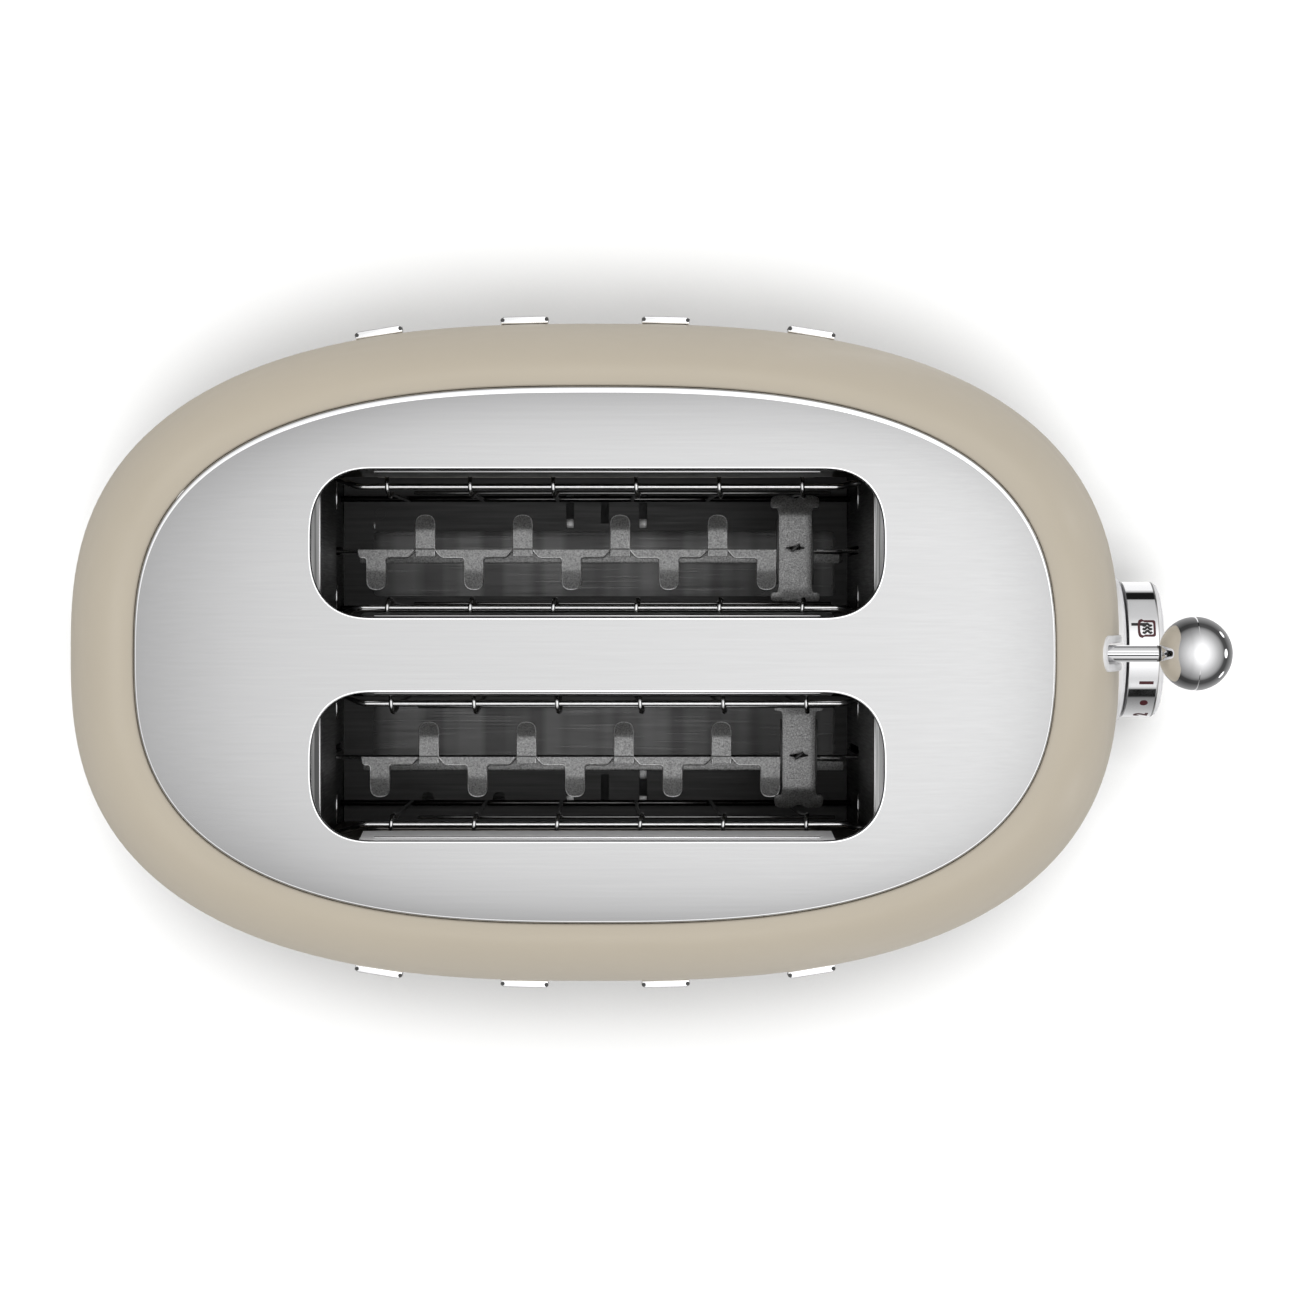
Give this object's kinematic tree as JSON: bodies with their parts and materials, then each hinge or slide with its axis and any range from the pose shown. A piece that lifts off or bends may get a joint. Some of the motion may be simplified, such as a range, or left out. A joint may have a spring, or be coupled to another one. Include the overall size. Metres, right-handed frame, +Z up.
{
  "type": "pop up toaster",
  "caption": "Retro oval pop-up toaster with two bread slots, ball-ended lever, browning dial and crumb tray.",
  "frame": {"origin": "middle of the whole object's bounding box, on the surface it stands on", "axes": "+X along the body towards the lever and dial, +Y to the left of someone facing that way, +Z up"},
  "size_m": [0.3362, 0.1986, 0.1978],
  "materials": {
    "shell_paint": "satin cream paint",
    "polished_steel": "polished",
    "chrome": "mirror",
    "chassis_steel": "dark, satin",
    "carriage_steel": "zinc plated, satin",
    "guard_wire": "bright plated wire",
    "mica": "matt mica sheet",
    "heating_ribbon": "bare nickel-chrome ribbon",
    "black_plastic": "moulded, fine grain",
    "rubber": "matt",
    "copper": "enamelled windings",
    "circuit_board": "solder mask"
  },
  "bodies": {
    "body": {"base_pan": "black_plastic", "base_screw_front_left": "chassis_steel", "base_screw_front_right": "chassis_steel", "base_screw_rear_left": "chassis_steel", "base_screw_rear_right": "chassis_steel", "base_trim": "chrome", "body_shell": "shell_paint", "chamber_floor": "chassis_steel", "control_board": "circuit_board", "cord_gland": "rubber", "dial_collar": "chrome", "end_plate_front": "chassis_steel", "end_plate_rear": "chassis_steel", "foot_front_left": "rubber", "foot_front_right": "rubber", "foot_rear_left": "rubber", "foot_rear_right": "rubber", "guide_rod_left": "polished_steel", "guide_rod_right": "polished_steel", "heater_card_left_inner": "mica", "heater_card_left_outer": "mica", "heater_card_right_inner": "mica", "heater_card_right_outer": "mica", "heating_ribbon_left_inner": "heating_ribbon", "heating_ribbon_left_outer": "heating_ribbon", "heating_ribbon_right_inner": "heating_ribbon", "heating_ribbon_right_outer": "heating_ribbon", "lever_slot_rim": "chrome", "magnet_coil": "copper", "magnet_core": "chassis_steel", "reflector_left": "chassis_steel", "reflector_right": "chassis_steel", "return_spring": "guard_wire", "rod_top_bracket": "chassis_steel", "rotary_switch": "black_plastic", "side_bar_left_1": "chrome", "side_bar_left_2": "chrome", "side_bar_left_3": "chrome", "side_bar_left_4": "chrome", "side_bar_right_1": "chrome", "side_bar_right_2": "chrome", "side_bar_right_3": "chrome", "side_bar_right_4": "chrome", "top_plate": "polished_steel"},
    "carriage": {"carriage_bracket": "carriage_steel", "bread_rail_left": "carriage_steel", "bread_rail_right": "carriage_steel", "spreader_left": "carriage_steel", "spreader_right": "carriage_steel", "lever_arm": "chrome", "lever_ball": "chrome", "latch_plate": "carriage_steel"},
    "guard_left_outer": {"guard_left_outer": "guard_wire"},
    "guard_left_inner": {"guard_left_inner": "guard_wire"},
    "guard_right_inner": {"guard_right_inner": "guard_wire"},
    "guard_right_outer": {"guard_right_outer": "guard_wire"},
    "dial": {"browning_dial": "chrome", "dial_shaft": "black_plastic"},
    "stop_button": {"stop_button": "black_plastic"},
    "crumb_tray": {"crumb_tray": "polished_steel"}
  },
  "joints": [
    {"name": "lever_slide", "type": "slide", "parent": "body", "child": "carriage", "axis": [0, 0, 1], "range_m": [-0.062, 0], "stiffness_N_per_m": 80, "springref_m": 0.05, "deforming": ["return_spring"]},
    {"name": "guard_left_outer_swing", "type": "hinge", "parent": "body", "child": "guard_left_outer", "pos_m": [-0.01312, 0.0481, 0.048], "axis": [1, 0, 0], "range_deg": [0, 3.45]},
    {"name": "guard_left_inner_swing", "type": "hinge", "parent": "body", "child": "guard_left_inner", "pos_m": [-0.01312, 0.0135, 0.048], "axis": [1, 0, 0], "range_deg": [-3.45, 0]},
    {"name": "guard_right_inner_swing", "type": "hinge", "parent": "body", "child": "guard_right_inner", "pos_m": [-0.01312, -0.0135, 0.048], "axis": [1, 0, 0], "range_deg": [0, 3.45]},
    {"name": "guard_right_outer_swing", "type": "hinge", "parent": "body", "child": "guard_right_outer", "pos_m": [-0.01312, -0.0481, 0.048], "axis": [1, 0, 0], "range_deg": [-3.45, 0]},
    {"name": "dial_turn", "type": "hinge", "parent": "body", "child": "dial", "pos_m": [0.15168, 0, 0.054], "axis": [-1, 0, 0], "range_deg": [-13, 302]},
    {"name": "stop_push", "type": "slide", "parent": "dial", "child": "stop_button", "axis": [-1, 0, 0], "range_m": [0, 0.0015], "stiffness_N_per_m": 400, "springref_m": -0.002},
    {"name": "tray_slide", "type": "slide", "parent": "body", "child": "crumb_tray", "axis": [-1, 0, 0], "range_m": [0, 0.235]}
  ],
  "couplings": [
    {"joint": "guard_left_outer_swing", "follows": "lever_slide", "rad_per_m": -0.968},
    {"joint": "guard_left_inner_swing", "follows": "lever_slide", "rad_per_m": 0.968},
    {"joint": "guard_right_inner_swing", "follows": "lever_slide", "rad_per_m": -0.968},
    {"joint": "guard_right_outer_swing", "follows": "lever_slide", "rad_per_m": 0.968}
  ]
}
